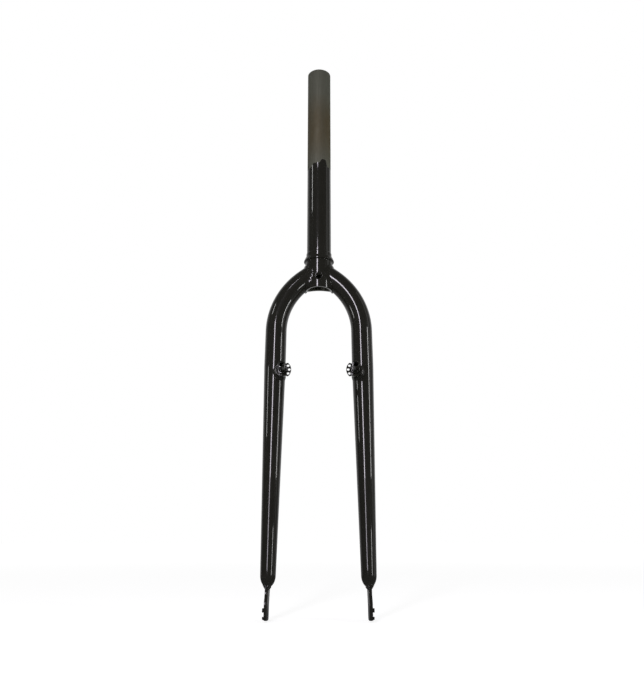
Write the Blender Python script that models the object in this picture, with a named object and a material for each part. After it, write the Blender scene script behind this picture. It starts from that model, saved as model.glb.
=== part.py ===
"""Rigid bicycle fork for 26 inch wheels: welded steel unicrown with cantilever brake bosses.

Metres, +Z up along the steering axis, front towards -Y. The origin lies on the steering
axis, in the plane of the crown race shoulder. The blades, dropouts and bosses lie in a leg
plane that leans forward from the steering axis, and are placed in it by a parent empty.
"""

import math

import bmesh
import bpy
from mathutils import Matrix, Vector

MM = 0.001

# Clearance that seated and welded neighbours keep
seat_gap = 0.3 * MM

# Steerer: one turned tube with crown race seat, race flange and crown base
steerer_diameter = 28.6 * MM
steerer_length = 252.5 * MM
steerer_wall = 1.6 * MM
butt_wall = 2.4 * MM
butt_top = 70.0 * MM
butt_taper = 35.0 * MM
end_chamfer = 0.4 * MM
paint_line = 123.0 * MM
race_seat_diameter = 30.0 * MM
race_seat_height = 5.2 * MM
shoulder_diameter = 32.4 * MM
flange_diameter = 35.6 * MM
flange_cone_height = 3.6 * MM
flange_height = 5.0 * MM
flange_round = 0.5 * MM
base_diameter = 31.8 * MM
base_length = 40.1 * MM
base_end_slope = math.radians(9.4)
base_end_arch = 34.0 * MM

# Bolt hole through the crown base, front to back
crown_hole_diameter = 6.2 * MM
crown_hole_sink = 7.8 * MM
crown_hole_drop = 27.0 * MM

# Where the legs go: axle height and rake, measured from the steering axis
axle_drop = 388.5 * MM
rake = 38.0 * MM
lean_drop = 14.0 * MM
hub_width = 100.0 * MM

# Fork blades: round tube, bent at the crown, tapered to a domed end
blade_diameter = 24.0 * MM
blade_end_diameter = 15.8 * MM
blade_wall = 1.3 * MM
blade_axis_drop = 26.7 * MM
crown_slope = math.radians(37.0)
bend_radius = 83.0 * MM
taper_length = 222.0 * MM
dome_length = 12.0 * MM
blade_end_inset = 0.8 * MM

# Dropouts: plate with an open axle slot, fender eyelet and wheel retention lugs
plate_thickness = 3.4 * MM
neck_length = 20.0 * MM
tang_width = 11.0 * MM
tang_depth = 16.0 * MM
plate_half_width = 12.5 * MM
plate_corner = 5.0 * MM
plate_shoulder = 8.0 * MM
shoulder_height = 3.0 * MM
slot_width = 9.6 * MM
tip_drop = 11.0 * MM
eyelet_back = 15.0 * MM
eyelet_height = 18.5 * MM
eyelet_diameter = 10.4 * MM
eyelet_hole = 5.2 * MM
web_drop = 3.2 * MM
lug_height = 1.6 * MM
side_lug_length = 4.6 * MM
side_lug_drop = 1.3 * MM
lug_width = 2.4 * MM
tip_lug_length = 3.6 * MM
tip_bevel = 1.2 * MM
tip_land = 0.7 * MM

# Cantilever brake bosses: welded base with a pivot post, and a plate with spring holes
boss_inset = 9.34 * MM
boss_above_axle = 245.0 * MM
boss_foot_diameter = 15.0 * MM
boss_foot_shift = 4.4 * MM
boss_neck_diameter = 12.8 * MM
boss_reach = 17.0 * MM
boss_back = 1.5 * MM
boss_collar_diameter = 10.0 * MM
boss_collar_length = 1.5 * MM
post_diameter = 8.0 * MM
post_length = 16.5 * MM
post_chamfer = 0.6 * MM
post_hole_diameter = 5.1 * MM
post_hole_depth = 14.0 * MM
spring_plate_thickness = 2.2 * MM
spring_plate_radius = 7.6 * MM
spring_tab_radius = 9.9 * MM
spring_tab_angle = math.radians(56.0)
spring_tab_blend = math.radians(16.0)
spring_hole_diameter = 3.1 * MM
spring_hole_circle = 7.8 * MM
spring_hole_pitch = math.radians(35.0)

# Weld beads
crown_bead = 2.1 * MM
boss_bead = 2.0 * MM
dropout_bead = 1.7 * MM

# Fineness of the round stretches
turned_sides = 56
blade_sides = 36
boss_sides = 36
hole_sides = 20
bead_sides = 8

paint_black = (0.012, 0.012, 0.011)
bare_steel = (0.105, 0.092, 0.075)

# Worked out from the sizes above
leg_length = math.hypot(axle_drop - lean_drop, rake)
lean = math.atan2(rake, axle_drop - lean_drop)
plate_middle = hub_width / 2 + plate_thickness / 2
axle_z = -leg_length
blade_tip_z = axle_z + neck_length
dome_z = blade_tip_z + dome_length
blade_end_x = plate_middle - blade_end_inset
base_radius = base_diameter / 2
boss_z = axle_z + boss_above_axle
plate_back = boss_reach + seat_gap
plate_front = plate_back + spring_plate_thickness
leg_frame = Matrix.Translation((0, 0, -lean_drop)) @ Matrix.Rotation(-lean, 4, "X")


def clear_scene():
    for item in list(bpy.data.objects):
        bpy.data.objects.remove(item, do_unlink=True)


def material(name, colour, roughness, metallic, coat=0.0):
    finish = bpy.data.materials.new(name)
    finish.use_nodes = True
    finish.diffuse_color = (*colour, 1.0)
    shader = finish.node_tree.nodes["Principled BSDF"]
    shader.inputs["Base Color"].default_value = (*colour, 1.0)
    shader.inputs["Roughness"].default_value = roughness
    shader.inputs["Metallic"].default_value = metallic
    shader.inputs["Coat Weight"].default_value = coat
    return finish


def add_object(name, bm, parent=None, finish=None):
    """Object from a bmesh, its faces turned outwards and its round sides shaded smooth."""
    bmesh.ops.recalc_face_normals(bm, faces=bm.faces)
    mesh = bpy.data.meshes.new(name)
    bm.to_mesh(mesh)
    bm.free()
    mesh.shade_smooth()
    mesh.set_sharp_from_angle(angle=math.radians(30.0))
    if finish:
        mesh.materials.append(finish)
    item = bpy.data.objects.new(name, mesh)
    item.parent = parent
    bpy.context.scene.collection.objects.link(item)
    return item


def add_cutter(name, bm, parent=None):
    item = add_object(name, bm, parent)
    item.hide_render = True
    item.display_type = "WIRE"
    return item


def combine(item, other, operation="DIFFERENCE"):
    step = item.modifiers.new(other.name, "BOOLEAN")
    step.operation = operation
    step.solver = "EXACT"
    step.object = other


def skin(bm, rings):
    """Quads between neighbouring rings of points; returns the rings of vertices."""
    loops = [[bm.verts.new(point) for point in ring] for ring in rings]
    for first, second in zip(loops, loops[1:]):
        for index, corner in enumerate(first):
            after = (index + 1) % len(first)
            bm.faces.new((corner, first[after], second[after], second[index]))
    return loops


def close_with_fan(bm, loop, tip):
    point = bm.verts.new(tip)
    for index, corner in enumerate(loop):
        bm.faces.new((corner, loop[(index + 1) % len(loop)], point))


def revolve(profile, sides, frame=Matrix.Identity(4)):
    """Turned body from a closed profile of (radius, height) about the frame's Z axis."""
    bm = bmesh.new()
    corners = [bm.verts.new((radius, 0.0, height)) for radius, height in profile]
    edges = [bm.edges.new(pair) for pair in zip(corners, corners[1:] + corners[:1])]
    bmesh.ops.spin(
        bm,
        geom=corners + edges,
        cent=(0, 0, 0),
        axis=(0, 0, 1),
        angle=math.tau,
        steps=sides,
        use_merge=True,
    )
    bmesh.ops.remove_doubles(bm, verts=bm.verts, dist=0.001 * MM)
    bmesh.ops.dissolve_degenerate(bm, edges=bm.edges, dist=0.001 * MM)
    bmesh.ops.transform(bm, matrix=frame, verts=bm.verts)
    return bm


def cylinder(radius, low, high, sides, frame=Matrix.Identity(4)):
    return revolve([(0, high), (radius, high), (radius, low), (0, low)], sides, frame)


def prism(outline, low, high, frame):
    """Plate of a closed outline of (u, v) points, from low to high along the frame's Z axis."""
    bm = bmesh.new()
    rings = [[Vector((u, v, level)) for u, v in outline] for level in (low, high)]
    bottom, top = skin(bm, rings)
    bm.faces.new(bottom)
    bm.faces.new(top)
    bm.normal_update()
    bmesh.ops.triangulate(bm, faces=[face for face in bm.faces if len(face.verts) > 4])
    bmesh.ops.transform(bm, matrix=frame, verts=bm.verts)
    return bm


def block(low, high):
    bm = bmesh.new()
    bmesh.ops.create_cube(bm, size=1.0)
    size = Vector(high) - Vector(low)
    middle = (Vector(high) + Vector(low)) / 2
    bmesh.ops.scale(bm, vec=size, verts=bm.verts)
    bmesh.ops.translate(bm, vec=middle, verts=bm.verts)
    return bm


def arc(centre, radius, start, end, steps):
    """Points of an arc from start to end, in degrees, both ends included."""
    points = []
    for step in range(steps + 1):
        angle = math.radians(start + (end - start) * step / steps)
        points.append((centre[0] + radius * math.cos(angle), centre[1] + radius * math.sin(angle)))
    return points


def tangent_bearing(point, centre, radius, side):
    """Angle in degrees, seen from the circle's centre, at which a line from point touches it."""
    reach = Vector(point) - Vector(centre)
    bearing = math.atan2(reach.y, reach.x)
    return math.degrees(bearing + side * math.acos(radius / reach.length))


def blade_line():
    """Bend centre and end angle of the blade's axis, in the leg plane (x, z).

    The axis leaves the crown base at crown_slope, follows the bend, and runs straight on to
    the middle of the blade's lower end.
    """
    start = Vector((base_radius, lean_drop - blade_axis_drop))
    centre = start - bend_radius * Vector((math.sin(crown_slope), math.cos(crown_slope)))
    reach = Vector((blade_end_x, dome_z)) - centre
    bearing = math.atan2(reach.x, reach.y)
    return centre, bearing - math.acos(bend_radius / reach.length)


bend_centre, bend_end = blade_line()
bend_length = bend_radius * (bend_end - crown_slope)


def bend_point(angle):
    return bend_centre + bend_radius * Vector((math.sin(angle), math.cos(angle)))


straight_length = (Vector((blade_end_x, dome_z)) - bend_point(bend_end)).length
blade_length = bend_length + straight_length


def blade_axis(distance):
    """Point and direction of the blade's axis at a distance along it from the crown base."""
    angle = crown_slope + min(max(distance, 0.0), bend_length) / bend_radius
    direction = Vector((math.cos(angle), -math.sin(angle)))
    beyond = min(distance, 0.0) + max(distance - bend_length, 0.0)
    return bend_point(angle) + beyond * direction, direction


boss_x = blade_axis(blade_length - (boss_z - dome_z))[0].x - boss_inset


def blade_radius(distance):
    share = min(max((blade_length - distance) / taper_length, 0.0), 1.0)
    return (blade_end_diameter + (blade_diameter - blade_end_diameter) * share) / 2


def blade_surface(side, distance, turn, radius):
    """Point of the blade's surface; turn 0 is its upper or outer side, a quarter turn its back."""
    point, direction = blade_axis(distance)
    outward = Vector((-direction.y, direction.x))
    x = point.x + radius * math.cos(turn) * outward.x
    z = point.y + radius * math.cos(turn) * outward.y
    return Vector((side * x, radius * math.sin(turn), z))


def blade_ring(side, distance, radius):
    turns = (math.tau * index / blade_sides for index in range(blade_sides))
    return [blade_surface(side, distance, turn, radius) for turn in turns]


def blade_stations():
    """Distances of the rings along the blade, close together in the bend."""
    bend_rings = 12
    straight_rings = 4
    root_depth = base_radius * 0.6
    taper_start = blade_length - taper_length
    stations = [-root_depth]
    stations += [bend_length * index / bend_rings for index in range(bend_rings)]
    stations += [bend_length + (taper_start - bend_length) * share for share in (0.0, 0.8)]
    stations += [taper_start + taper_length * index / straight_rings for index in range(straight_rings)]
    return stations


def blade_shell(side, offset):
    """Rings of the blade's skin, offset outwards, and the tip of its domed end."""
    rings = [blade_ring(side, at, blade_radius(at) + offset) for at in blade_stations()]
    dome_rings = 5
    end_radius = blade_end_diameter / 2 + offset
    end_length = dome_length + offset
    for index in range(dome_rings):
        angle = math.pi / 2 * index / dome_rings
        at = blade_length + end_length * math.sin(angle)
        rings.append(blade_ring(side, at, end_radius * math.cos(angle)))
    return rings, blade_surface(side, blade_length + end_length, 0.0, 0.0)


def blade_solid(side, offset):
    bm = bmesh.new()
    rings, tip = blade_shell(side, offset)
    loops = skin(bm, rings)
    bm.faces.new(loops[0])
    close_with_fan(bm, loops[-1], tip)
    return bm


def steerer_profile():
    """Section of the turned steerer, down its outer side and up the bore."""
    outer = steerer_diameter / 2
    seat = race_seat_diameter / 2
    flange = flange_diameter / 2
    bore = outer - steerer_wall
    butt = outer - butt_wall
    low = -base_length - base_radius
    return [
        (bore + end_chamfer, steerer_length),
        (outer - end_chamfer, steerer_length),
        (outer, steerer_length - end_chamfer),
        (outer, paint_line),
        (outer, race_seat_height + (seat - outer)),
        (seat, race_seat_height),
        (seat, 0.0),
        (shoulder_diameter / 2, 0.0),
        (flange, -flange_cone_height),
        (flange, -flange_height + flange_round),
        (flange - flange_round, -flange_height),
        (base_radius, -flange_height - flange_round / 2),
        (base_radius, low),
        (butt, low),
        (butt, butt_top - butt_taper),
        (bore, butt_top),
        (bore, steerer_length - end_chamfer),
    ]


def add_steerer(paint, steel):
    steerer = add_object("steerer_tube", revolve(steerer_profile(), turned_sides), None, paint)
    steerer.data.materials.append(steel)
    for face in steerer.data.polygons:
        face.material_index = int(face.center.z > paint_line)
    front_top = Matrix.Translation((0, -base_radius, -base_length))
    tilt = Matrix.Rotation(base_end_slope, 4, "X") @ Matrix.Translation((0, 0, -base_end_arch))
    along = front_top @ tilt @ Matrix.Rotation(math.pi / 2, 4, "X")
    wide = 2 * base_diameter
    arch = cylinder(base_end_arch, -wide, wide, turned_sides, along)
    combine(steerer, add_cutter("crown_end_arch", arch))
    hole = crown_hole_diameter / 2
    sink = crown_hole_sink / 2
    reach = base_radius + seat_gap * 2
    face = base_radius * math.cos(math.asin(sink / base_radius))
    along_y = Matrix.Translation((0, 0, -crown_hole_drop)) @ Matrix.Rotation(math.pi / 2, 4, "X")
    profile = [
        (0, reach),
        (sink + reach - face, reach),
        (hole, face - (sink - hole)),
        (hole, -face + (sink - hole)),
        (sink + reach - face, -reach),
        (0, -reach),
    ]
    combine(steerer, add_cutter("crown_hole", revolve(profile, hole_sides, along_y)))
    return steerer


def add_blade(side, word, legs, paint, crown_cut):
    bm = bmesh.new()
    outer, outer_tip = blade_shell(side, 0.0)
    inner, inner_tip = blade_shell(side, -blade_wall)
    outer_loops = skin(bm, outer)
    inner_loops = skin(bm, inner)
    close_with_fan(bm, outer_loops[-1], outer_tip)
    close_with_fan(bm, inner_loops[-1], inner_tip)
    for index, corner in enumerate(outer_loops[0]):
        after = (index + 1) % blade_sides
        bm.faces.new((corner, outer_loops[0][after], inner_loops[0][after], inner_loops[0][index]))
    blade = add_object(f"blade_{word}", bm, legs, paint)
    combine(blade, crown_cut)
    near = side * (plate_middle - plate_thickness / 2 - seat_gap)
    far = side * (plate_middle + plate_thickness / 2 + seat_gap)
    half = tang_width / 2 + seat_gap
    slot = block(
        (min(near, far), -half, blade_tip_z - dome_length),
        (max(near, far), half, blade_tip_z + tang_depth + seat_gap),
    )
    combine(blade, add_cutter(f"tang_slot_{word}", slot, legs))
    return blade


def dropout_outline():
    """Side outline of the dropout as (back, up) from the axle, from the front tip round."""
    half_slot = slot_width / 2
    half_tang = tang_width / 2
    corner_y = plate_half_width - plate_corner
    corner_z = plate_corner - tip_drop
    shoulder_y = plate_half_width - plate_shoulder
    slope = plate_half_width - half_tang - 2 * plate_shoulder * (1 - math.cos(math.pi / 4))
    neck_z = shoulder_height + 2 * plate_shoulder * math.sin(math.pi / 4) + slope
    eyelet = (eyelet_back, eyelet_height)
    eyelet_radius = eyelet_diameter / 2
    side_top = (plate_half_width, shoulder_height)
    web_foot = (half_tang, neck_length - web_drop)
    lower = tangent_bearing(side_top, eyelet, eyelet_radius, 1)
    upper = tangent_bearing(web_foot, eyelet, eyelet_radius, -1) % 360
    tang_top = neck_length + tang_depth
    points = [(-half_slot, -tip_drop)]
    points += arc((0, 0), half_slot, 180, 0, 12)
    points += [(half_slot, -tip_drop)]
    points += arc((corner_y, corner_z), plate_corner, -90, 0, 5)
    points += [side_top]
    points += arc(eyelet, eyelet_radius, lower, upper, 12)
    points += [web_foot, (half_tang, tang_top), (-half_tang, tang_top)]
    points += arc((-half_tang - plate_shoulder, neck_z), plate_shoulder, 0, -45, 4)
    points += arc((-shoulder_y, shoulder_height), plate_shoulder, 135, 180, 4)
    points += arc((-corner_y, corner_z), plate_corner, 180, 270, 5)
    return points


def add_dropout(side, word, legs, paint):
    """Plate in the plane x = plate_middle, its lugs on the outer face."""
    to_side = Matrix(((0, 0, side, side * plate_middle), (1, 0, 0, 0), (0, 1, 0, axle_z), (0, 0, 0, 1)))
    half = plate_thickness / 2
    plate = add_object(f"dropout_{word}", prism(dropout_outline(), -half, half, to_side), legs, paint)
    hole = revolve(
        [(0, 2 * half), (eyelet_hole / 2, 2 * half), (eyelet_hole / 2, -2 * half), (0, -2 * half)],
        hole_sides,
        to_side @ Matrix.Translation((eyelet_back, eyelet_height, 0)),
    )
    combine(plate, add_cutter(f"eyelet_hole_{word}", hole, legs))
    inset = seat_gap
    side_lug_end = side_lug_length / 2
    side_lug_taper = lug_width / 3
    for place, sign in (("front", -1), ("back", 1)):
        edge = plate_half_width - inset
        outline = [
            (sign * edge, side_lug_end - side_lug_drop),
            (sign * edge, -side_lug_end - side_lug_drop),
            (sign * (edge - lug_width), side_lug_taper - side_lug_end - side_lug_drop),
            (sign * (edge - lug_width), side_lug_end - side_lug_taper - side_lug_drop),
        ]
        lug = add_cutter(f"side_lug_{place}_{word}", prism(outline, 0, half + lug_height, to_side), legs)
        combine(plate, lug, "UNION")
        near = slot_width / 2 + inset
        far = plate_half_width - plate_corner + inset
        widest = far + plate_corner * 0.4
        low = inset - tip_drop
        outline = [
            (sign * near, low),
            (sign * far, low),
            (sign * widest, low + tip_lug_length / 2),
            (sign * widest, low + tip_lug_length),
            (sign * near, low + tip_lug_length),
        ]
        lip = add_cutter(f"tip_lug_{place}_{word}", prism(outline, 0, half + lug_height, to_side), legs)
        combine(plate, lip, "UNION")
    across = Matrix(((side, 0, 0, side * plate_middle), (0, 0, 1, 0), (0, 1, 0, axle_z - tip_drop), (0, 0, 0, 1)))
    for face, edge in (("outer", half + lug_height), ("inner", -half)):
        slope = tip_bevel / (abs(edge) - tip_land)
        start = -slope * tip_land
        past = 2 * edge
        outline = [(0, start), (past, start), (past, slope * (abs(past) - tip_land))]
        bevel = prism(outline, -plate_half_width, plate_half_width, across)
        combine(plate, add_cutter(f"tip_bevel_{face}_{word}", bevel, legs))
    return plate


def boss_frame(side):
    """Frame with +Z forward along the pivot post, from the leg plane at the pivot."""
    return Matrix.Translation((side * boss_x, 0, boss_z)) @ Matrix.Rotation(math.pi / 2, 4, "X")


def boss_base_ring(side, share, offset):
    """Ring of the boss base: share 0 is its foot on the blade, share 1 its neck at the plate.

    The first point of a ring is the one next to the wheel.
    """
    foot = boss_foot_diameter / 2 + offset
    neck = boss_neck_diameter / 2 + offset
    radius = foot + (neck - foot) * share
    middle = boss_x + boss_foot_shift * (1 - share)
    forward = (boss_reach + boss_back) * share - boss_back
    ring = []
    for index in range(boss_sides):
        angle = math.tau * index / boss_sides
        x = side * (middle - radius * math.cos(angle))
        ring.append(Vector((x, -forward, boss_z + radius * math.sin(angle))))
    return ring


def boss_base(side, low, high, offset):
    bm = bmesh.new()
    foot, neck = skin(bm, [boss_base_ring(side, low, offset), boss_base_ring(side, high, offset)])
    bm.faces.new(foot)
    bm.faces.new(neck)
    return bm


def add_boss(side, word, legs, paint, blade_clearance):
    """Forged base that leans from the blade's front towards the pivot, with its turned post."""
    collar = boss_collar_diameter / 2
    post = post_diameter / 2
    hole = post_hole_diameter / 2
    collar_end = plate_front + boss_collar_length
    post_end = collar_end + post_length
    profile = [
        (hole, post_end),
        (post - post_chamfer, post_end),
        (post, post_end - post_chamfer),
        (post, collar_end),
        (collar, collar_end),
        (collar, boss_reach - boss_collar_length),
        (0, boss_reach - boss_collar_length),
        (0, post_end - post_hole_depth - hole / 2),
        (hole, post_end - post_hole_depth),
    ]
    boss = add_object(f"brake_boss_{word}", boss_base(side, 0.0, 1.0, 0.0), legs, paint)
    post_body = revolve(profile, boss_sides, boss_frame(side))
    combine(boss, add_cutter(f"brake_post_{word}", post_body, legs), "UNION")
    combine(boss, blade_clearance)
    return boss


def spring_plate_outline(side):
    """Disc round the post with a wider tab towards the wheel, which holds the spring holes."""
    points = []
    steps = 60
    for index in range(steps):
        angle = math.tau * index / steps
        from_tab = abs(math.remainder(angle, math.tau))
        share = min(max((spring_tab_angle - from_tab) / spring_tab_blend + 0.5, 0.0), 1.0)
        blend = share * share * (3 - 2 * share)
        radius = spring_plate_radius + (spring_tab_radius - spring_plate_radius) * blend
        points.append((-side * radius * math.cos(angle), radius * math.sin(angle)))
    return points


def add_spring_plate(side, word, legs, paint):
    frame = boss_frame(side)
    bm = prism(spring_plate_outline(side), plate_back, plate_front, frame)
    plate = add_object(f"spring_plate_{word}", bm, legs, paint)
    low = plate_back - spring_plate_thickness
    high = plate_front + spring_plate_thickness
    bore = boss_collar_diameter / 2 + seat_gap
    combine(plate, add_cutter(f"post_bore_{word}", cylinder(bore, low, high, boss_sides, frame), legs))
    for number in (-1, 0, 1):
        angle = number * spring_hole_pitch
        centre = Vector((-side * math.cos(angle), math.sin(angle), 0)) * spring_hole_circle
        place = frame @ Matrix.Translation(centre)
        hole = cylinder(spring_hole_diameter / 2, low, high, hole_sides, place)
        combine(plate, add_cutter(f"spring_hole_{word}_{number + 2}", hole, legs))
    return plate


def bead(points, radius, cyclic):
    """Rod of a round section that follows the points, closed to a loop where cyclic."""
    count = len(points)
    rings = []
    across = Vector((0, 0, 1))
    for index, point in enumerate(points):
        before = points[index - 1] if cyclic or index else point
        after = points[(index + 1) % count] if cyclic or index < count - 1 else point
        along = (after - before).normalized()
        across = (across - along * across.dot(along)).normalized()
        third = along.cross(across)
        ring = []
        for corner in range(bead_sides):
            angle = math.tau * corner / bead_sides
            ring.append(point + radius * (math.cos(angle) * across + math.sin(angle) * third))
        rings.append(ring)
    bm = bmesh.new()
    loops = skin(bm, rings)
    last, first = loops[-1], loops[0]
    if not cyclic:
        bm.faces.new(first)
        bm.faces.new(last)
        return bm
    shift = min(range(bead_sides), key=lambda turn: (last[0].co - first[turn].co).length)
    for index, corner in enumerate(last):
        after = (index + 1) % bead_sides
        ends = (first[(after + shift) % bead_sides], first[(index + shift) % bead_sides])
        bm.faces.new((corner, last[after], *ends))
    return bm


def crown_joint(side):
    """Points where the blade's surface meets the crown base, in the leg plane's frame."""
    points = []
    steps = 48
    for index in range(steps):
        turn = math.tau * index / steps
        low, high = -base_radius, 1.5 * base_radius
        for _ in range(40):
            middle = (low + high) / 2
            place = leg_frame @ blade_surface(side, middle, turn, blade_diameter / 2)
            if math.hypot(place.x, place.y) < base_radius:
                low = middle
            else:
                high = middle
        points.append(blade_surface(side, high, turn, blade_diameter / 2))
    return points


def boss_joint(side):
    """Points where the boss base meets the blade's front, open where it passes beside the blade."""
    least_depth = 0.1
    distance = blade_length - (boss_z - dome_z)
    axis, _ = blade_axis(distance)
    radius = blade_radius(distance)
    points = []
    for foot, neck in zip(boss_base_ring(side, 0.0, 0.0), boss_base_ring(side, 1.0, 0.0)):
        inside, outside = 0.0, 1.0
        for _ in range(30):
            middle = (inside + outside) / 2
            place = foot.lerp(neck, middle)
            if math.hypot(side * place.x - axis.x, place.y) < radius:
                inside = middle
            else:
                outside = middle
        if inside > least_depth:
            points.append(foot.lerp(neck, outside))
    return points


def dropout_collar(side):
    """Flared collar round the tang, from just below the blade's tip up round its domed end."""
    steps = 32
    least_width = 0.35
    foot_depth = 0.8 * dropout_bead
    height = 2.6 * dropout_bead
    squareness = 0.6
    rings = []
    for share in (0.0, 0.5, 1.0):
        width = least_width + (1 - least_width) * math.sin(math.pi / 2 * share)
        grown = seat_gap + dropout_bead * width
        level = blade_tip_z - foot_depth + height * share
        half_x = plate_thickness / 2 + grown
        half_y = tang_width / 2 + grown
        ring = []
        for index in range(steps):
            angle = math.tau * (index + 0.5) / steps
            cosine, sine = math.cos(angle), math.sin(angle)
            x = plate_middle + half_x * math.copysign(abs(cosine) ** squareness, cosine)
            y = half_y * math.copysign(abs(sine) ** squareness, sine)
            ring.append(Vector((side * x, y, level)))
        rings.append(ring)
    bm = bmesh.new()
    loops = skin(bm, rings)
    bm.faces.new(loops[0])
    bm.faces.new(loops[-1])
    return bm


def add_welds(side, word, legs, paint, crown_cut, blade_clearance):
    crown = add_object(f"weld_crown_{word}", bead(crown_joint(side), crown_bead, True), legs, paint)
    combine(crown, crown_cut)
    combine(crown, blade_clearance)
    boss = add_object(f"weld_boss_{word}", bead(boss_joint(side), boss_bead, False), legs, paint)
    combine(boss, blade_clearance)
    past = 0.2
    base = boss_base(side, -past, 1 + past, seat_gap)
    combine(boss, add_cutter(f"boss_clearance_{word}", base, legs))
    dropout = add_object(f"weld_dropout_{word}", dropout_collar(side), legs, paint)
    combine(dropout, blade_clearance)
    near = side * (hub_width / 2 - seat_gap)
    far = side * (hub_width / 2 + plate_thickness + seat_gap)
    half = tang_width / 2 + seat_gap
    tang = block(
        (min(near, far), -half, axle_z),
        (max(near, far), half, dome_z + tang_depth),
    )
    combine(dropout, add_cutter(f"tang_clearance_{word}", tang, legs))


def main():
    clear_scene()
    paint = material("gloss_black_paint", paint_black, 0.12, 0.0, 1.0)
    steel = material("bare_steel", bare_steel, 0.5, 0.85)
    legs = bpy.data.objects.new("leg_plane", None)
    legs.matrix_world = leg_frame
    bpy.context.scene.collection.objects.link(legs)
    add_steerer(paint, steel)
    reach = base_length + base_diameter
    crown_cut = add_cutter("crown_cut", cylinder(base_radius + seat_gap, -reach, reach, turned_sides))
    for side, word in ((-1, "left"), (1, "right")):
        clearance = add_cutter(f"blade_clearance_{word}", blade_solid(side, seat_gap), legs)
        add_blade(side, word, legs, paint, crown_cut)
        add_dropout(side, word, legs, paint)
        add_boss(side, word, legs, paint, clearance)
        add_spring_plate(side, word, legs, paint)
        add_welds(side, word, legs, paint, crown_cut, clearance)


main()
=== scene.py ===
"""Looks of a rigid steel bicycle fork, and the white studio round it.

The frame holds the fork's solids. Each operator builds one of the fork's pieces again in a fine
mesh, gives it its finish, and lets it stand for its solid. Metres, +Z up the steering axis, the
front of the fork towards -Y.
"""

import math

import bmesh
import bpy
from bpy.props import FloatProperty, FloatVectorProperty, IntProperty, PointerProperty
from mathutils import Matrix, Vector
from mathutils.geometry import tessellate_polygon


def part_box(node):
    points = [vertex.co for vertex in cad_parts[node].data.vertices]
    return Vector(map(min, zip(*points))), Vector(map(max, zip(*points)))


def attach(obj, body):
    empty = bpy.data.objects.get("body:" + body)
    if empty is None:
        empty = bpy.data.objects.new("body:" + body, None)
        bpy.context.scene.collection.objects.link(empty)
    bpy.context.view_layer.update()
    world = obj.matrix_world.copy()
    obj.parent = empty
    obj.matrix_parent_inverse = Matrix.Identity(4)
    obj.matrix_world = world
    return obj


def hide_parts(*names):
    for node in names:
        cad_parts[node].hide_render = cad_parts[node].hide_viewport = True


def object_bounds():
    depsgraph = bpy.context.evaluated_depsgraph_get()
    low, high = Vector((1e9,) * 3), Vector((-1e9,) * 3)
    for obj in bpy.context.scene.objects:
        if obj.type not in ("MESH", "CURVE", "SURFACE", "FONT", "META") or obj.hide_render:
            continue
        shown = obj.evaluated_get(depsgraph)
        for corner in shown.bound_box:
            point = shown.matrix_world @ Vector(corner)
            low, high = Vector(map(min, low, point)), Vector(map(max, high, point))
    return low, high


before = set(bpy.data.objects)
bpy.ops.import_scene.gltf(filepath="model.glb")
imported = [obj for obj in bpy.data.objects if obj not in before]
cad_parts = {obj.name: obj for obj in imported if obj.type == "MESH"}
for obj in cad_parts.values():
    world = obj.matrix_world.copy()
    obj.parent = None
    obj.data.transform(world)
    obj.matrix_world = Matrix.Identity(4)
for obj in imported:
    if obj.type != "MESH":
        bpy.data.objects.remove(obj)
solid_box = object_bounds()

bl_info = {
    "name": "Bicycle Fork",
    "version": (1, 0, 0),
    "blender": (4, 5, 0),
    "location": "View3D > Sidebar > Fork",
    "description": "Builds a welded steel bicycle fork and the studio it is shown in",
    "category": "Add Mesh",
}

MM = 0.001
SIDES = ((-1, "left"), (1, "right"))
# Edges that turn by more than this, in degrees, stay crisp.
CREASE = 38.0
# Width of the ring that keeps the face of a plate flat up to its rounded edge.
FACE_RIM = 0.15 * MM
# How much stronger the paint's fine waves are over a weld bead than on a tube.
WELD_WAVES = 6.0

_, steerer_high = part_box("steerer_tube")


def length(name, description, default):
    return FloatProperty(name=name, description=description, default=default, unit="LENGTH", precision=5)


def angle(name, description, degrees):
    return FloatProperty(name=name, description=description, default=math.radians(degrees), subtype="ANGLE")


def colour(name, description, default):
    return FloatVectorProperty(
        name=name, description=description, default=default, subtype="COLOR", min=0.0, max=1.0
    )


def share(name, description, default, most=1.0):
    return FloatProperty(name=name, description=description, default=default, min=0.0, max=most)


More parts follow.
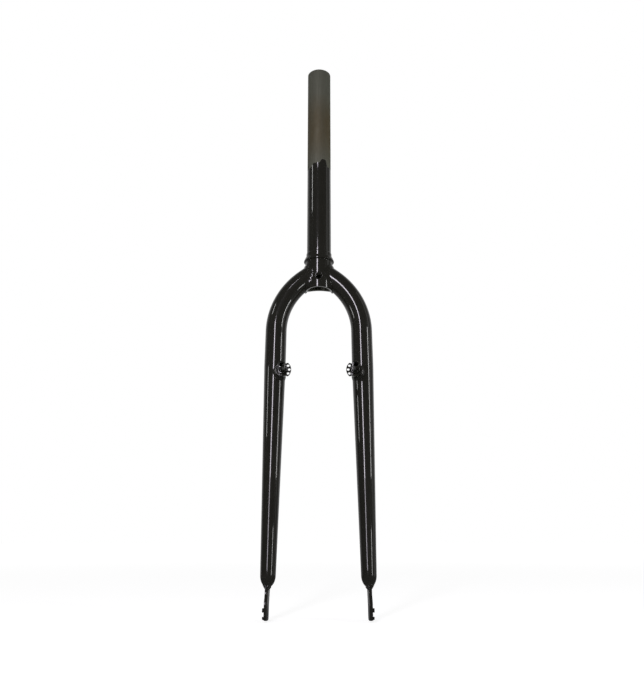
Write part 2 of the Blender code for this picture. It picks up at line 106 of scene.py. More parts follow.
class ForkSteererSizes(bpy.types.PropertyGroup):
    """Sizes of the steerer with its race seat, flange and crown base."""

    top: length("Top", "Height of the tube's end above the race shoulder", steerer_high.z)
    diameter: length("Diameter", "Outside diameter of the tube", 28.6 * MM)
    wall: length("Wall", "Wall of the tube's upper part", 1.6 * MM)
    butt_wall: length("Butt wall", "Thicker wall at the crown", 2.4 * MM)
    butt_top: length("Butt top", "Height at which the wall is down to its thin size", 70.0 * MM)
    butt_taper: length("Butt taper", "Length over which the wall changes", 35.0 * MM)
    chamfer: length("Chamfer", "Chamfer of the tube's end", 0.4 * MM)
    seat_diameter: length("Seat diameter", "Diameter of the crown race seat", 30.0 * MM)
    seat_height: length("Seat height", "Height of the crown race seat", 5.2 * MM)
    shoulder_diameter: length("Shoulder diameter", "Flat on which the race rests", 32.4 * MM)
    flange_diameter: length("Flange diameter", "Widest diameter of the flange", 2 * steerer_high.x)
    flange_cone: length("Flange cone", "Height of the flange's conical side", 3.6 * MM)
    flange_height: length("Flange height", "Height of the whole flange", 5.0 * MM)
    base_diameter: length("Base diameter", "Outside diameter of the crown base", 31.8 * MM)
    base_length: length("Base length", "Depth of the base's front below the shoulder", 40.1 * MM)
    base_slope: angle("Base slope", "Slope of the base's end, higher at the back", 9.4)
    base_arch: length("Base arch", "Radius of the arch across the base's end", 34.0 * MM)
    hole_diameter: length("Hole diameter", "Bolt hole through the crown base", 6.2 * MM)
    hole_sink: length("Hole sink", "Diameter of the hole's countersink", 7.8 * MM)
    hole_drop: length("Hole drop", "Depth of the bolt hole below the shoulder", 27.0 * MM)
    paint_line: length("Paint line", "Height at which the paint gives way to bare steel", 123.0 * MM)


class ForkLegSizes(bpy.types.PropertyGroup):
    """Sizes of the leg plane and of the two blades in it."""

    axle_drop: length("Axle drop", "Depth of the axle below the race shoulder", 388.5 * MM)
    rake: length("Rake", "Distance of the axle in front of the steering axis", 38.0 * MM)
    lean_drop: length("Lean drop", "Depth at which the leg plane crosses the steering axis", 14.0 * MM)
    hub_width: length("Hub width", "Distance between the dropouts' inner faces", 100.0 * MM)
    diameter: length("Diameter", "Diameter of the blade's upper part", 24.0 * MM)
    end_diameter: length("End diameter", "Diameter of the blade above its domed end", 15.8 * MM)
    axis_drop: length("Axis drop", "Depth of the blade's axis where it leaves the base", 26.7 * MM)
    crown_slope: angle("Crown slope", "Slope of the blade where it leaves the base", 37.0)
    bend_radius: length("Bend radius", "Radius of the bend under the crown", 83.0 * MM)
    taper_length: length("Taper length", "Length of the tapered lower part", 222.0 * MM)
    dome_length: length("Dome length", "Length of the domed end", 12.0 * MM)
    end_inset: length("End inset", "Distance of the blade's end inside the dropout's middle", 0.8 * MM)


class ForkDropoutSizes(bpy.types.PropertyGroup):
    """Sizes of the dropouts."""

    thickness: length("Thickness", "Thickness of the plate", 3.4 * MM)
    neck_length: length("Neck length", "Height of the blade's tip above the axle", 20.0 * MM)
    tang_width: length("Tang width", "Width of the tang in the blade", 11.0 * MM)
    tang_depth: length("Tang depth", "Depth of the tang in the blade", 16.0 * MM)
    half_width: length("Half width", "Half the width of the plate", 12.5 * MM)
    corner: length("Corner", "Radius of the lower corners", 5.0 * MM)
    shoulder: length("Shoulder", "Radius of the curves between plate and tang", 8.0 * MM)
    shoulder_height: length("Shoulder height", "Height at which the shoulders start", 3.0 * MM)
    slot_width: length("Slot width", "Width of the axle slot", 9.6 * MM)
    tip_drop: length("Tip drop", "Depth of the tips below the axle", 11.0 * MM)
    eyelet_back: length("Eyelet back", "Distance of the eyelet behind the axle", 15.0 * MM)
    eyelet_height: length("Eyelet height", "Height of the eyelet above the axle", 18.5 * MM)
    eyelet_diameter: length("Eyelet diameter", "Outside diameter of the eyelet", 10.4 * MM)
    eyelet_hole: length("Eyelet hole", "Diameter of the eyelet's hole", 5.2 * MM)
    web_drop: length("Web drop", "Depth of the eyelet web's foot below the blade's tip", 3.2 * MM)
    lug_height: length("Lug height", "Height of the wheel retention lugs", 1.6 * MM)
    lug_width: length("Lug width", "Width of the side lugs", 2.4 * MM)
    side_lug: length("Side lug", "Length of the side lugs", 4.6 * MM)
    side_lug_drop: length("Side lug drop", "Depth of the side lugs below the axle", 1.3 * MM)
    tip_lug: length("Tip lug", "Length of the tip lugs", 3.6 * MM)
    tip_bevel: length("Tip bevel", "Height of the bevels under the tips", 1.2 * MM)
    tip_land: length("Tip land", "Half the thickness left flat between the bevels", 0.7 * MM)
    edge: length("Edge", "Rounding of the plate's edges", 0.45 * MM)


class ForkBossSizes(bpy.types.PropertyGroup):
    """Sizes of the brake bosses and their spring plates."""

    inset: length("Inset", "Distance of the pivot inside the blade's centre line", 9.34 * MM)
    above_axle: length("Above axle", "Height of the pivots above the axle", 245.0 * MM)
    foot_diameter: length("Foot diameter", "Diameter of the base on the blade", 15.0 * MM)
    foot_shift: length("Foot shift", "Distance of the foot outside the pivot", 4.4 * MM)
    neck_diameter: length("Neck diameter", "Diameter of the base at the plate", 12.8 * MM)
    reach: length("Reach", "Distance of the neck in front of the leg plane", 17.0 * MM)
    back: length("Back", "Depth of the foot behind the leg plane", 1.5 * MM)
    collar_diameter: length("Collar diameter", "Diameter of the collar behind the post", 10.0 * MM)
    collar_length: length("Collar length", "Length of the collar in front of the plate", 1.5 * MM)
    post_diameter: length("Post diameter", "Diameter of the pivot post", 8.0 * MM)
    post_length: length("Post length", "Length of the pivot post", 16.5 * MM)
    hole_diameter: length("Hole diameter", "Diameter of the tapping hole", 5.1 * MM)
    thread_diameter: length("Thread diameter", "Outside diameter of the thread", 6.0 * MM)
    thread_pitch: length("Thread pitch", "Pitch of the thread", 1.0 * MM)
    hole_depth: length("Hole depth", "Depth of the threaded hole", 14.0 * MM)
    plate_gap: length("Plate gap", "Gap between the base and the spring plate", 0.3 * MM)
    plate_thickness: length("Plate thickness", "Thickness of the spring plate", 2.2 * MM)
    plate_radius: length("Plate radius", "Radius of the spring plate", 7.6 * MM)
    tab_radius: length("Tab radius", "Radius of the spring plate's tab", 9.9 * MM)
    tab_angle: angle("Tab angle", "Half the angle of the tab", 56.0)
    tab_blend: angle("Tab blend", "Angle over which the tab rises", 16.0)
    spring_hole: length("Spring hole", "Diameter of the three spring holes", 3.1 * MM)
    spring_circle: length("Spring circle", "Radius on which the spring holes lie", 7.8 * MM)
    spring_pitch: angle("Spring pitch", "Angle between the spring holes", 35.0)


class ForkWeldSizes(bpy.types.PropertyGroup):
    """Sizes of the weld beads under the paint."""

    crown_leg: length("Crown leg", "Width of the crown bead on each tube", 3.1 * MM)
    boss_leg: length("Boss leg", "Width of the boss bead on each part", 2.7 * MM)
    dropout_leg: length("Dropout leg", "Width of the dropout bead on each part", 2.7 * MM)
    bulge: length("Bulge", "Height of the bead over the line between its toes", 0.02 * MM)
    ripple: length("Ripple", "Height of the ripples", 0.07 * MM)
    ripple_pitch: length("Ripple pitch", "Distance between ripples", 1.9 * MM)
    lump: length("Lump", "Height of the broad lumps", 0.28 * MM)
    lump_pitch: length("Lump pitch", "Distance between lumps", 4.8 * MM)
    sink: length("Sink", "Depth of the bead's toes under the surface", 0.12 * MM)


class ForkFinish(bpy.types.PropertyGroup):
    """Colours and roughness of the paint and the bare steel."""

    paint_dark: colour("Paint dark", "Darker tone of the black paint", (0.0080, 0.0078, 0.0058))
    paint_light: colour("Paint light", "Lighter tone of the black paint", (0.0130, 0.0126, 0.0096))
    paint_rough: share("Paint roughness", "Roughness of the colour coat", 0.32)
    clear_rough: share("Clear coat roughness", "Roughness of the clear coat", 0.045)
    peel: share("Orange peel", "Strength of the paint's fine waves", 0.003)
    steel_dark: colour("Steel dark", "Darker tone of the bare steel", (0.146, 0.149, 0.118))
    steel_light: colour("Steel light", "Lighter tone of the bare steel", (0.185, 0.188, 0.150))
    steel_band: colour("Steel band", "Straw colour where the steel was heated", (0.142, 0.118, 0.072))
    steel_stain: colour("Steel stain", "Oil and heat stains on the steel", (0.095, 0.078, 0.050))
    steel_rough: share("Steel roughness", "Roughness of the bare steel", 0.68)


class ForkStudio(bpy.types.PropertyGroup):
    """Camera, lamps and floor."""

    camera_place: FloatVectorProperty(
        name="Camera place",
        description="Where the camera stands",
        default=(0.0036, -0.77745, -0.31985),
        subtype="TRANSLATION",
    )
    camera_tilt: angle("Camera tilt", "Angle of the camera's view above the horizon", 15.4)
    camera_lens: FloatProperty(
        name="Camera lens",
        description="Focal length for a 36 mm high picture",
        default=36.575,
        unit="CAMERA",
    )
    floor_size: length("Floor size", "Width of the floor", 16.0)
    floor_shadow: share("Floor shadow", "Share of the floor's own light in what the camera sees", 0.5)
    floor_near: share("Floor near", "White added to the floor under the fork", 1.5, 4.0)
    floor_far: share("Floor far", "White added to the floor where the lamps don't reach", 1.7, 4.0)
    floor_gloss: share("Floor in gloss", "Brightness of the floor in reflections", 0.12)
    room_front: share("Room front", "Brightness of the room in front of the fork", 0.08)
    room_back: share("Room back", "Brightness of the backdrop behind the fork", 0.55)
    room_fill: share("Room fill", "Brightness of the room as fill light", 0.45)
    key: share("Key lamp", "Brightness of the tall box beside the camera", 22.0, 100.0)
    rim: share("Side lamps", "Brightness of the narrow boxes at both sides", 16.0, 100.0)
    card: share("Card", "Brightness of the broad card at the right", 0.5, 10.0)
    key_tint: colour("Key tint", "Colour of the key lamp", (0.95, 0.90, 1.0))
    sides: IntProperty(name="Sides", description="Sides of the round pieces", default=112, min=24, max=256)


def ring(radius, height, sides):
    turns = (math.tau * step / sides for step in range(sides))
    return [Vector((radius * math.cos(at), radius * math.sin(at), height)) for at in turns]


def hole_path(centre, radius, sides):
    """Outline of a round hole in a plate, clockwise."""
    turns = (math.tau * step / sides for step in range(sides))
    return [centre + radius * Vector((math.cos(at), -math.sin(at))) for at in turns]


def bridge(bm, first, second):
    """Faces between two loops of vertices; a loop of one vertex is the tip of a fan."""
    count = max(len(first), len(second))
    for step in range(count):
        after = (step + 1) % count
        if len(first) == 1:
            bm.faces.new((first[0], second[after], second[step]))
        elif len(second) == 1:
            bm.faces.new((first[step], first[after], second[0]))
        else:
            bm.faces.new((first[step], first[after], second[after], second[step]))


def skin(bm, rings, closed=False):
    """Faces between neighbouring rings of points; returns the rings of vertices."""
    loops = [[bm.verts.new(point) for point in points] for points in rings]
    for first, second in zip(loops, loops[1:]):
        bridge(bm, first, second)
    if closed:
        bridge(bm, loops[-1], loops[0])
    return loops


def lathe(bm, profile, sides, closed=False):
    """Turned body about Z from (radius, height) points; a point on the axis closes an end."""
    rings = []
    for radius, height in profile:
        rings.append(ring(radius, height, sides) if radius else [Vector((0, 0, height))])
    return skin(bm, rings, closed)


def round_corners(corners, steps=5):
    """Closed path through (x, y, radius) corners, an arc at each corner that has a radius."""
    path = []
    for index, (x, y, radius) in enumerate(corners):
        here = Vector((x, y))
        if not radius:
            path.append(here)
            continue
        before = (Vector(corners[index - 1][:2]) - here).normalized()
        after = (Vector(corners[(index + 1) % len(corners)][:2]) - here).normalized()
        half = before.angle(after) / 2
        centre = here + (before + after).normalized() * radius / math.sin(half)
        start = here + before * radius / math.tan(half) - centre
        end = here + after * radius / math.tan(half) - centre
        first = math.atan2(start.y, start.x)
        turn = math.remainder(math.atan2(end.y, end.x) - first, math.tau)
        for step in range(steps + 1):
            at = first + turn * step / steps
            path.append(centre + radius * Vector((math.cos(at), math.sin(at))))
    return path


def split_long(path, spacing):
    """The path with points added where two of its points are further apart than spacing."""
    result = [path[0]]
    for point in path[1:]:
        parts = max(1, math.ceil((point - result[-1]).length / spacing))
        start = result[-1]
        result += [start.lerp(point, part / parts) for part in range(1, parts + 1)]
    return result


def arc(centre, radius, start, end, steps):
    """Corners without a radius along an arc, from start to end in degrees."""
    corners = []
    for step in range(steps + 1):
        at = math.radians(start + (end - start) * step / steps)
        corners.append((centre[0] + radius * math.cos(at), centre[1] + radius * math.sin(at), 0.0))
    return corners


def inset(path, distance):
    """The closed path moved to the left of its travel, with a limit at its sharp corners."""
    moved = []
    for index, point in enumerate(path):
        before = (point - path[index - 1]).normalized()
        after = (path[(index + 1) % len(path)] - point).normalized()
        normal = Vector((-before.y, before.x)) + Vector((-after.y, after.x))
        moved.append(point + distance * 2 * normal / max(normal.length_squared, 0.5))
    return moved


def plate(bm, outlines, low, high, edge, matrix, between=()):
    """Plate with rounded edges: the outer path runs anticlockwise, those of holes clockwise.

    Rings of vertices go round its sides at the levels in between.
    """
    steps = 4
    levels = [(edge + FACE_RIM, 0.0)]
    for step in range(steps + 1):
        at = math.pi / 2 * step / steps
        levels.append((edge * (1 - math.sin(at)), edge * (1 - math.cos(at))))
    bottoms, tops = [], []
    for outline in outlines:
        rings = []
        for shift, rise in levels:
            rings.append([(point.x, point.y, low + rise) for point in inset(outline, shift)])
        for level in between:
            rings.append([(point.x, point.y, level) for point in outline])
        for shift, rise in reversed(levels):
            rings.append([(point.x, point.y, high - rise) for point in inset(outline, shift)])
        loops = skin(bm, [[matrix @ Vector(point) for point in points] for points in rings])
        bottoms.append((rings[0], loops[0]))
        tops.append((rings[-1], loops[-1]))
    for rims in (bottoms, tops):
        corners = [vertex for _, loop in rims for vertex in loop]
        for triple in tessellate_polygon([[Vector(point) for point in points] for points, _ in rims]):
            bm.faces.new([corners[index] for index in triple])


def place(name, bm, finish, node, matrix=Matrix.Identity(4), crease=CREASE, even=False):
    """Object from the bmesh, which rides on the frame and stands for its solid.

    Even lets wide faces rule the shading, so that they look flat beside narrow ones.
    """
    bmesh.ops.recalc_face_normals(bm, faces=bm.faces)
    mesh = bpy.data.meshes.new(name)
    bm.to_mesh(mesh)
    bm.free()
    mesh.shade_smooth()
    mesh.set_sharp_from_angle(angle=math.radians(crease))
    mesh.materials.append(finish)
    piece = bpy.data.objects.new(name, mesh)
    piece.matrix_world = matrix
    bpy.context.scene.collection.objects.link(piece)
    if even:
        piece.modifiers.new("even_normals", "WEIGHTED_NORMAL").keep_sharp = True
    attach(piece, "root")
    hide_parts(node)
    return piece


def cut(piece, bm):
    """Cuts a body out of a piece, whose matrix is the identity, and keeps its edges crisp."""
    bmesh.ops.recalc_face_normals(bm, faces=bm.faces)
    tool_mesh = bpy.data.meshes.new("cutter")
    bm.to_mesh(tool_mesh)
    bm.free()
    tool = bpy.data.objects.new("cutter", tool_mesh)
    bpy.context.scene.collection.objects.link(tool)
    step = piece.modifiers.new("cut", "BOOLEAN")
    step.operation = "DIFFERENCE"
    step.solver = "EXACT"
    step.object = tool
    bpy.context.view_layer.update()
    graph = bpy.context.evaluated_depsgraph_get()
    mesh = bpy.data.meshes.new_from_object(piece.evaluated_get(graph))
    piece.modifiers.remove(step)
    plain = piece.data
    piece.data = mesh
    mesh.set_sharp_from_angle(angle=math.radians(CREASE))
    mesh.name = plain.name
    bpy.data.meshes.remove(plain)
    bpy.data.objects.remove(tool)
    bpy.data.meshes.remove(tool_mesh)


class BladePath:
    """Centre line of a blade in the leg plane: down from the base, round the bend, then straight."""

    def __init__(self, scene):
        self.legs = legs = scene.fork_legs
        self.bosses = bosses = scene.fork_bosses
        self.dropouts = dropouts = scene.fork_dropouts
        self.base_radius = scene.fork_steerer.base_diameter / 2
        drop = legs.axle_drop - legs.lean_drop
        self.plane = Matrix.Translation((0, 0, -legs.lean_drop)) @ Matrix.Rotation(
            -math.atan2(legs.rake, drop), 4, "X"
        )
        self.axle_z = -math.hypot(drop, legs.rake)
        self.plate_middle = (legs.hub_width + dropouts.thickness) / 2
        self.tip_z = self.axle_z + dropouts.neck_length
        self.end = Vector((self.plate_middle - legs.end_inset, self.tip_z + legs.dome_length))
        start = Vector((self.base_radius, legs.lean_drop - legs.axis_drop))
        slope = legs.crown_slope
        self.centre = start - legs.bend_radius * Vector((math.sin(slope), math.cos(slope)))
        reach = self.end - self.centre
        self.bend_end = math.atan2(reach.x, reach.y) - math.acos(legs.bend_radius / reach.length)
        self.bend_length = legs.bend_radius * (self.bend_end - slope)
        self.length = self.bend_length + (self.end - self.on_bend(self.bend_end)).length
        pivot_z = self.axle_z + bosses.above_axle
        beside, _ = self.axis(self.length - (pivot_z - self.end.y))
        self.pivot = Vector((beside.x - bosses.inset, pivot_z))

    def on_bend(self, at):
        return self.centre + self.legs.bend_radius * Vector((math.sin(at), math.cos(at)))

    def axis(self, distance):
        """Point and direction of the centre line at a distance from the base."""
        at = self.legs.crown_slope + min(max(distance, 0.0), self.bend_length) / self.legs.bend_radius
        direction = Vector((math.cos(at), -math.sin(at)))
        beyond = min(distance, 0.0) + max(distance - self.bend_length, 0.0)
        return self.on_bend(at) + beyond * direction, direction

    def radius(self, distance):
        part = min(max((self.length - distance) / self.legs.taper_length, 0.0), 1.0)
        return (self.legs.end_diameter + (self.legs.diameter - self.legs.end_diameter) * part) / 2

    def normal(self, side, distance, turn):
        _, direction = self.axis(distance)
        return Vector((-side * direction.y * math.cos(turn), math.sin(turn), direction.x * math.cos(turn)))

    def surface(self, side, distance, turn, radius=None):
        """Point of the skin; turn 0 is its upper or outer side, a quarter turn its back."""
        point, _ = self.axis(distance)
        reach = self.radius(distance) if radius is None else radius
        return Vector((side * point.x, 0, point.y)) + reach * self.normal(side, distance, turn)

    def cope(self, turn, depth=0.0):
        """Distance at which the skin meets the base, or a cylinder that much inside it."""
        low, high = -self.base_radius, 2 * self.base_radius
        for _ in range(40):
            middle = (low + high) / 2
            spot = self.plane @ self.surface(1, middle, turn)
            if math.hypot(spot.x, spot.y) < self.base_radius - depth:
                low = middle
            else:
                high = middle
        return high


def nodes_of(name):
    finish = bpy.data.materials.new(name)
    finish.use_nodes = True
    return finish, finish.node_tree, finish.node_tree.nodes["Principled BSDF"]


def add_node(tree, kind, **values):
    item = tree.nodes.new(kind)
    for name, value in values.items():
        setattr(item, name, value)
    return item


def object_space(tree, stretch=(1, 1, 1)):
    """Object coordinates, squeezed or stretched along each axis."""
    coordinates = add_node(tree, "ShaderNodeTexCoord")
    mapping = add_node(tree, "ShaderNodeMapping")
    mapping.inputs["Scale"].default_value = stretch
    tree.links.new(coordinates.outputs["Object"], mapping.inputs["Vector"])
    return mapping.outputs["Vector"]


def noise(tree, vector, per_metre, detail=3.0, roughness=0.55):
    texture = add_node(tree, "ShaderNodeTexNoise")
    texture.inputs["Scale"].default_value = per_metre
    texture.inputs["Detail"].default_value = detail
    texture.inputs["Roughness"].default_value = roughness
    tree.links.new(vector, texture.inputs["Vector"])
    return texture.outputs["Fac"]


def remap(tree, source, low, high, to_low=0.0, to_high=1.0, smooth=False):
    item = add_node(tree, "ShaderNodeMapRange", interpolation_type="SMOOTHSTEP" if smooth else "LINEAR")
    for name, value in zip(("From Min", "From Max", "To Min", "To Max"), (low, high, to_low, to_high)):
        item.inputs[name].default_value = value
    tree.links.new(source, item.inputs["Value"])
    return item.outputs["Result"]


def feed(tree, socket, value):
    """Gives a socket its value, or links another socket to it."""
    if isinstance(value, bpy.types.NodeSocket):
        tree.links.new(value, socket)
    else:
        socket.default_value = value


def maths(tree, operation, first, second=0.0):
    item = add_node(tree, "ShaderNodeMath", operation=operation)
    feed(tree, item.inputs[0], first)
    feed(tree, item.inputs[1], second)
    return item.outputs["Value"]


def length_of(tree, vector):
    item = add_node(tree, "ShaderNodeVectorMath", operation="LENGTH")
    tree.links.new(vector, item.inputs[0])
    return item.outputs["Value"]


def blend_colours(tree, factor, first, second):
    item = add_node(tree, "ShaderNodeMix", data_type="RGBA")
    tree.links.new(factor, item.inputs["Factor"])
    for socket, value in ((item.inputs[6], first), (item.inputs[7], second)):
        feed(tree, socket, value if isinstance(value, bpy.types.NodeSocket) else (*value, 1.0))
    return item.outputs[2]


def blend_numbers(tree, factor, first, second):
    item = add_node(tree, "ShaderNodeMix", data_type="FLOAT")
    tree.links.new(factor, item.inputs[0])
    feed(tree, item.inputs[2], first)
    feed(tree, item.inputs[3], second)
    return item.outputs[0]


def blend_vectors(tree, factor, first, second):
    item = add_node(tree, "ShaderNodeMix", data_type="VECTOR")
    tree.links.new(factor, item.inputs[0])
    tree.links.new(first, item.inputs[4])
    tree.links.new(second, item.inputs[5])
    return item.outputs[1]


def bump(tree, height, strength, distance, under=None):
    item = add_node(tree, "ShaderNodeBump")
    item.inputs["Strength"].default_value = strength
    item.inputs["Distance"].default_value = distance
    tree.links.new(height, item.inputs["Height"])
    if under:
        tree.links.new(under, item.inputs["Normal"])
    return item.outputs["Normal"]


def paint_sockets(tree, look, waves):
    """Colour, roughness and normals of the black paint; waves is the strength of its orange peel."""
    space = object_space(tree)
    tone = blend_colours(tree, noise(tree, space, 55.0, 4.0), look.paint_dark, look.paint_light)
    glossy, dull = look.paint_rough * 0.8, look.paint_rough * 1.2
    haze = remap(tree, noise(tree, space, 90.0, 5.0), 0.3, 0.7, glossy, dull)
    peel = bump(tree, noise(tree, space, 90.0, 1.0), look.peel * waves, 0.25 * MM)
    return tone, haze, peel


def clear_coat(tree, shader, look, peel):
    """Gloss of the clear coat, which follows the paint's waves and leaves the colour coat matt."""
    tree.links.new(peel, shader.inputs["Coat Normal"])
    shader.inputs["Specular IOR Level"].default_value = 0.05
    shader.inputs["Coat Roughness"].default_value = look.clear_rough
    shader.inputs["Coat IOR"].default_value = 1.45


def black_paint(look, name, waves):
    """Thick glossy black enamel with a little orange peel."""
    finish, tree, shader = nodes_of(name)
    tone, haze, peel = paint_sockets(tree, look, waves)
    tree.links.new(tone, shader.inputs["Base Color"])
    tree.links.new(haze, shader.inputs["Roughness"])
    tree.links.new(peel, shader.inputs["Normal"])
    clear_coat(tree, shader, look, peel)
    shader.inputs["Coat Weight"].default_value = 1.0
    return finish


def steerer_finish(look, sizes):
    """Black enamel that ends in a ragged sprayed edge, with drawn bare steel above and in the bore."""
    finish, tree, shader = nodes_of("enamel_over_bare_steel")
    tone, haze, peel = paint_sockets(tree, look, 1.0)

    space = object_space(tree)
    split = add_node(tree, "ShaderNodeSeparateXYZ")
    tree.links.new(space, split.inputs["Vector"])
    across, _, up = split.outputs
    ragged = remap(tree, noise(tree, space, 130.0, 4.0), 0.0, 1.0, -1.6 * MM, 1.6 * MM)
    left_drop = remap(tree, across, -9.5 * MM, -7 * MM, 7.5 * MM, 2.2 * MM)
    crest = remap(tree, across, 0.5 * MM, 4 * MM, 0.0, -4.7 * MM, smooth=True)
    right_drop = remap(tree, across, 7.5 * MM, 10.5 * MM, 0.0, 9 * MM, smooth=True)
    crest = maths(tree, "ADD", maths(tree, "ADD", left_drop, right_drop), crest)
    level = maths(tree, "ADD", maths(tree, "ADD", up, crest), ragged)
    above = remap(tree, level, sizes.paint_line - 0.5 * MM, sizes.paint_line + 0.5 * MM, smooth=True)
    radius = length_of(tree, object_space(tree, (1, 1, 0)))
    bore_edge = sizes.diameter / 2 - sizes.wall / 2
    inside = remap(tree, radius, bore_edge, bore_edge - 0.3 * MM)
    bare = maths(tree, "MAXIMUM", above, inside)

    drawn = noise(tree, object_space(tree, (1.0, 1.0, 0.02)), 1500.0, 3.0)
    cloud = noise(tree, object_space(tree, (1.0, 1.0, 0.35)), 45.0, 5.0, 0.62)
    speck = noise(tree, space, 420.0, 4.0, 0.6)
    steel = blend_colours(tree, remap(tree, drawn, 0.3, 0.7), look.steel_dark, look.steel_light)
    heated = sizes.paint_line + 48 * MM
    from_heated = maths(tree, "ABSOLUTE", maths(tree, "SUBTRACT", up, heated))
    band = remap(tree, from_heated, 56 * MM, 8 * MM, smooth=True)
    band = maths(tree, "MULTIPLY", band, remap(tree, cloud, 0.25, 0.6, 0.5, 1.0))
    steel = blend_colours(tree, band, steel, look.steel_band)
    spots = remap(tree, speck, 0.62, 0.74, 0.0, 0.3)
    steel = blend_colours(tree, spots, steel, look.steel_stain)
    steel_rough = remap(tree, cloud, 0.3, 0.7, look.steel_rough * 0.85, look.steel_rough * 1.25)
    scratches = bump(tree, drawn, 0.12, 0.03 * MM)
    pits = bump(tree, speck, 0.15, 0.05 * MM, scratches)

    tree.links.new(blend_colours(tree, bare, tone, steel), shader.inputs["Base Color"])
    tree.links.new(blend_numbers(tree, bare, haze, steel_rough), shader.inputs["Roughness"])
    tree.links.new(maths(tree, "MULTIPLY", bare, 0.92), shader.inputs["Metallic"])
    tree.links.new(maths(tree, "SUBTRACT", 1.0, bare), shader.inputs["Coat Weight"])
    tree.links.new(blend_vectors(tree, bare, peel, pits), shader.inputs["Normal"])
    clear_coat(tree, shader, look, peel)
    return finish


def finish_for(scene, key):
    """The named finish, made on first use."""
    names = {"paint": "black_enamel", "weld": "black_enamel_over_weld", "steerer": "enamel_over_bare_steel"}
    known = bpy.data.materials.get(names[key])
    if known:
        return known
    if key == "steerer":
        return steerer_finish(scene.fork_finish, scene.fork_steerer)
    return black_paint(scene.fork_finish, names[key], WELD_WAVES if key == "weld" else 1.0)


def steerer_profile(sizes):
    """Closed section of the turned steerer, down its outer side and up the bore."""
    outer = sizes.diameter / 2
    seat = sizes.seat_diameter / 2
    flange = sizes.flange_diameter / 2
    base = sizes.base_diameter / 2
    bore = outer - sizes.wall
    butt = outer - sizes.butt_wall
    corners = [
        (bore + sizes.chamfer, sizes.top, 0.0),
        (outer - sizes.chamfer, sizes.top, 0.12 * MM),
        (outer, sizes.top - sizes.chamfer, 0.2 * MM),
        (outer, sizes.seat_height + (seat - outer), 0.8 * MM),
        (seat, sizes.seat_height, 0.25 * MM),
        (seat, 0.0, 0.3 * MM),
        (sizes.shoulder_diameter / 2, 0.0, 0.2 * MM),
        (flange, -sizes.flange_cone, 0.5 * MM),
        (flange, -sizes.flange_height + 0.1 * MM, 0.45 * MM),
        (base, -sizes.flange_height - 0.3 * MM, 0.7 * MM),
        (base, -sizes.base_length, 0.55 * MM),
        (butt, -sizes.base_length, 0.45 * MM),
        (butt, sizes.butt_top - sizes.butt_taper, 12 * MM),
        (bore, sizes.butt_top, 12 * MM),
        (bore, sizes.top - sizes.chamfer, 0.2 * MM),
    ]
    path = round_corners(corners)
    fine, coarse = 1.1 * MM, 15 * MM
    points = [path[0]]
    for point in path[1:]:
        spacing = fine if max(point.y, points[-1].y) < -sizes.flange_height else coarse
        points += split_long([points[-1], point], spacing)[1:]
    return points


def build_steerer(scene):
    """Turned tube, its base stretched to the sloping arch at its end and drilled from front to back."""
    sizes = scene.fork_steerer
    bm = bmesh.new()
    lathe(bm, [tuple(point) for point in steerer_profile(sizes)], scene.fork_studio.sides + 16, closed=True)
    stretch_top = -sizes.flange_height - 6 * MM
    rise = math.tan(sizes.base_slope)
    for vertex in bm.verts:
        part = (stretch_top - vertex.co.z) / (stretch_top + sizes.base_length)
        if part > 0:
            sag = sizes.base_arch - math.sqrt(sizes.base_arch**2 - vertex.co.x**2)
            vertex.co.z += part * (rise * (vertex.co.y + sizes.base_diameter / 2) - sag)
    finish = finish_for(scene, "steerer")
    steerer = place("turned_steerer", bm, finish, "steerer_tube", even=True)

    hole = sizes.hole_diameter / 2
    sink = sizes.hole_sink / 2
    reach = sizes.base_diameter
    face = math.sqrt((sizes.base_diameter / 2) ** 2 - sink**2)
    drill = [
        (0.0, reach),
        (sink + reach - face, reach),
        (hole, face - sink + hole),
        (hole, -face + sink - hole),
        (sink + reach - face, -reach),
        (0.0, -reach),
    ]
    bm = bmesh.new()
    lathe(bm, drill, 48)
    along = Matrix.Translation((0, 0, -sizes.hole_drop)) @ Matrix.Rotation(math.pi / 2, 4, "X")
    bmesh.ops.transform(bm, matrix=along, verts=bm.verts)
    cut(steerer, bm)


def build_blade(scene, side, word):
    """Blade skin: coped to the base, bent, tapered and domed, closed inside the base."""
    path = BladePath(scene)
    sides = scene.fork_studio.sides
    turns = [math.tau * step / sides for step in range(sides)]
    root_depth = 1.2 * MM
    roots = [path.cope(turn, root_depth) for turn in turns]
    join = 26 * MM
    coped_rings, bend_rings, straight_rings, dome_rings = 14, 26, 30, 14
    rings = []
    for step in range(coped_rings):
        part = step / coped_rings
        rings.append(
            [path.surface(side, root + (join - root) * part, turn) for root, turn in zip(roots, turns)]
        )
    for step in range(bend_rings):
        at = join + (path.bend_length - join) * step / bend_rings
        rings.append([path.surface(side, at, turn) for turn in turns])
    for step in range(straight_rings):
        at = path.bend_length + (path.length - path.bend_length) * step / straight_rings
        rings.append([path.surface(side, at, turn) for turn in turns])
    end_radius = path.radius(path.length)
    for step in range(dome_rings):
        dome = math.pi / 2 * step / dome_rings
        at = path.length + path.legs.dome_length * math.sin(dome)
        rings.append([path.surface(side, at, turn, end_radius * math.cos(dome)) for turn in turns])
    rings.append([path.surface(side, path.length + path.legs.dome_length, 0.0, 0.0)])
    bm = bmesh.new()
    loops = skin(bm, rings)
    middle = sum((vertex.co for vertex in loops[0]), Vector()) / sides
    bridge(bm, [bm.verts.new(middle)], loops[0])
    finish = finish_for(scene, "paint")
    place(f"fork_blade_{word}", bm, finish, f"blade_{word}", path.plane, crease=60.0)


def touching_angle(point, centre, radius, way):
    """Angle in degrees, seen from the circle's centre, at which a line from point touches it."""
    reach = Vector(point) - Vector(centre)
    return math.degrees(math.atan2(reach.y, reach.x) + way * math.acos(radius / reach.length))


